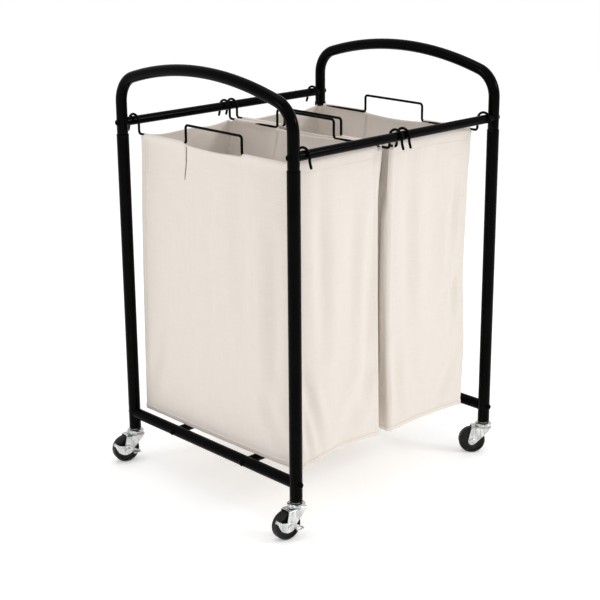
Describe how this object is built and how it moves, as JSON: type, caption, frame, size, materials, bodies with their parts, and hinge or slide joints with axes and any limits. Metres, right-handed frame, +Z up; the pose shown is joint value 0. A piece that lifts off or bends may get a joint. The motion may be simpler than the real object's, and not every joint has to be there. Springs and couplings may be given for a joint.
{
  "type": "laundry sorter",
  "caption": "Laundry sorter: tube frame with arched push handles, canvas bags hung from the top rails on wire hangers, swivel casters with brakes on one side.",
  "frame": {"origin": "on the floor, under the middle of the bounding box", "axes": "+Z up, X along the top rails with the braked casters at -X, -Y the front"},
  "size_m": [0.6222, 0.545, 0.8471],
  "materials": {
    "powder_coat": "gloss black powder coat",
    "wire": "semi-gloss black coated wire",
    "zinc": "bright zinc plate",
    "black_plastic": "satin black moulded plastic",
    "wheel": "satin black tread",
    "canvas": "natural cotton canvas, plain weave"
  },
  "bodies": {
    "frame": {"post_front_left": "powder_coat", "post_front_right": "powder_coat", "post_back_left": "powder_coat", "post_back_right": "powder_coat", "handle_left": "powder_coat", "crossbar_left": "powder_coat", "handle_right": "powder_coat", "crossbar_right": "powder_coat", "top_rail_front": "powder_coat", "bottom_rail_front": "powder_coat", "top_rail_back": "powder_coat", "bottom_rail_back": "powder_coat", "rail_bolt_front_left": "powder_coat", "crossbar_bolt_front_left": "powder_coat", "bottom_rail_bolt_front_left": "powder_coat", "rail_bolt_front_right": "powder_coat", "crossbar_bolt_front_right": "powder_coat", "bottom_rail_bolt_front_right": "powder_coat", "rail_bolt_back_left": "powder_coat", "crossbar_bolt_back_left": "powder_coat", "bottom_rail_bolt_back_left": "powder_coat", "rail_bolt_back_right": "powder_coat", "crossbar_bolt_back_right": "powder_coat", "bottom_rail_bolt_back_right": "powder_coat", "stem_socket_front_left": "black_plastic", "caster_stem_front_left": "zinc", "ball_ring_front_left": "zinc", "stem_socket_front_right": "black_plastic", "caster_stem_front_right": "zinc", "ball_ring_front_right": "zinc", "stem_socket_back_left": "black_plastic", "caster_stem_back_left": "zinc", "ball_ring_back_left": "zinc", "stem_socket_back_right": "black_plastic", "caster_stem_back_right": "zinc", "ball_ring_back_right": "zinc"},
    "left_bag_set": {"bag_left": "canvas", "hanger_left_outer": "wire", "hanger_left_inner": "wire"},
    "right_bag_set": {"bag_right": "canvas", "hanger_right_outer": "wire", "hanger_right_inner": "wire"},
    "swivel_front_left": {"caster_fork_front_left": "zinc", "axle_front_left": "zinc"},
    "roller_front_left": {"wheel_front_left": "wheel"},
    "brake_front_left": {"brake_lever_front_left": "zinc"},
    "swivel_front_right": {"caster_fork_front_right": "zinc", "axle_front_right": "zinc"},
    "roller_front_right": {"wheel_front_right": "wheel"},
    "swivel_back_left": {"caster_fork_back_left": "zinc", "axle_back_left": "zinc"},
    "roller_back_left": {"wheel_back_left": "wheel"},
    "brake_back_left": {"brake_lever_back_left": "zinc"},
    "swivel_back_right": {"caster_fork_back_right": "zinc", "axle_back_right": "zinc"},
    "roller_back_right": {"wheel_back_right": "wheel"}
  },
  "joints": [
    {"name": "bag_left_lift", "type": "slide", "parent": "frame", "child": "left_bag_set", "axis": [0, 0, 1], "range_m": [0, 0.65]},
    {"name": "bag_right_lift", "type": "slide", "parent": "frame", "child": "right_bag_set", "axis": [0, 0, 1], "range_m": [0, 0.65]},
    {"name": "swivel_front_left", "type": "hinge", "parent": "frame", "child": "swivel_front_left", "pos_m": [-0.25477, -0.24862, 0.06], "axis": [0, 0, 1], "continuous": true},
    {"name": "roll_front_left", "type": "hinge", "parent": "swivel_front_left", "child": "roller_front_left", "pos_m": [-0.2781, -0.24576, 0.0275], "axis": [-0.1219, -0.9925, 0], "continuous": true},
    {"name": "brake_front_left", "type": "hinge", "parent": "swivel_front_left", "child": "brake_front_left", "pos_m": [-0.2781, -0.24576, 0.0275], "axis": [-0.1219, -0.9925, 0], "range_deg": [0, 15]},
    {"name": "swivel_front_right", "type": "hinge", "parent": "frame", "child": "swivel_front_right", "pos_m": [0.29023, -0.24862, 0.06], "axis": [0, 0, 1], "continuous": true},
    {"name": "roll_front_right", "type": "hinge", "parent": "swivel_front_right", "child": "roller_front_right", "pos_m": [0.27361, -0.23201, 0.0275], "axis": [-0.7071, -0.7071, 0], "continuous": true},
    {"name": "swivel_back_left", "type": "hinge", "parent": "frame", "child": "swivel_back_left", "pos_m": [-0.25477, 0.23938, 0.06], "axis": [0, 0, 1], "continuous": true},
    {"name": "roll_back_left", "type": "hinge", "parent": "swivel_back_left", "child": "roller_back_left", "pos_m": [-0.27758, 0.24506, 0.0275], "axis": [-0.2419, -0.9703, 0], "continuous": true},
    {"name": "brake_back_left", "type": "hinge", "parent": "swivel_back_left", "child": "brake_back_left", "pos_m": [-0.27758, 0.24506, 0.0275], "axis": [-0.2419, -0.9703, 0], "range_deg": [0, 15]},
    {"name": "swivel_back_right", "type": "hinge", "parent": "frame", "child": "swivel_back_right", "pos_m": [0.29023, 0.23938, 0.06], "axis": [0, 0, 1], "continuous": true},
    {"name": "roll_back_right", "type": "hinge", "parent": "swivel_back_right", "child": "roller_back_right", "pos_m": [0.26987, 0.25113, 0.0275], "axis": [-0.5, -0.866, 0], "continuous": true}
  ]
}
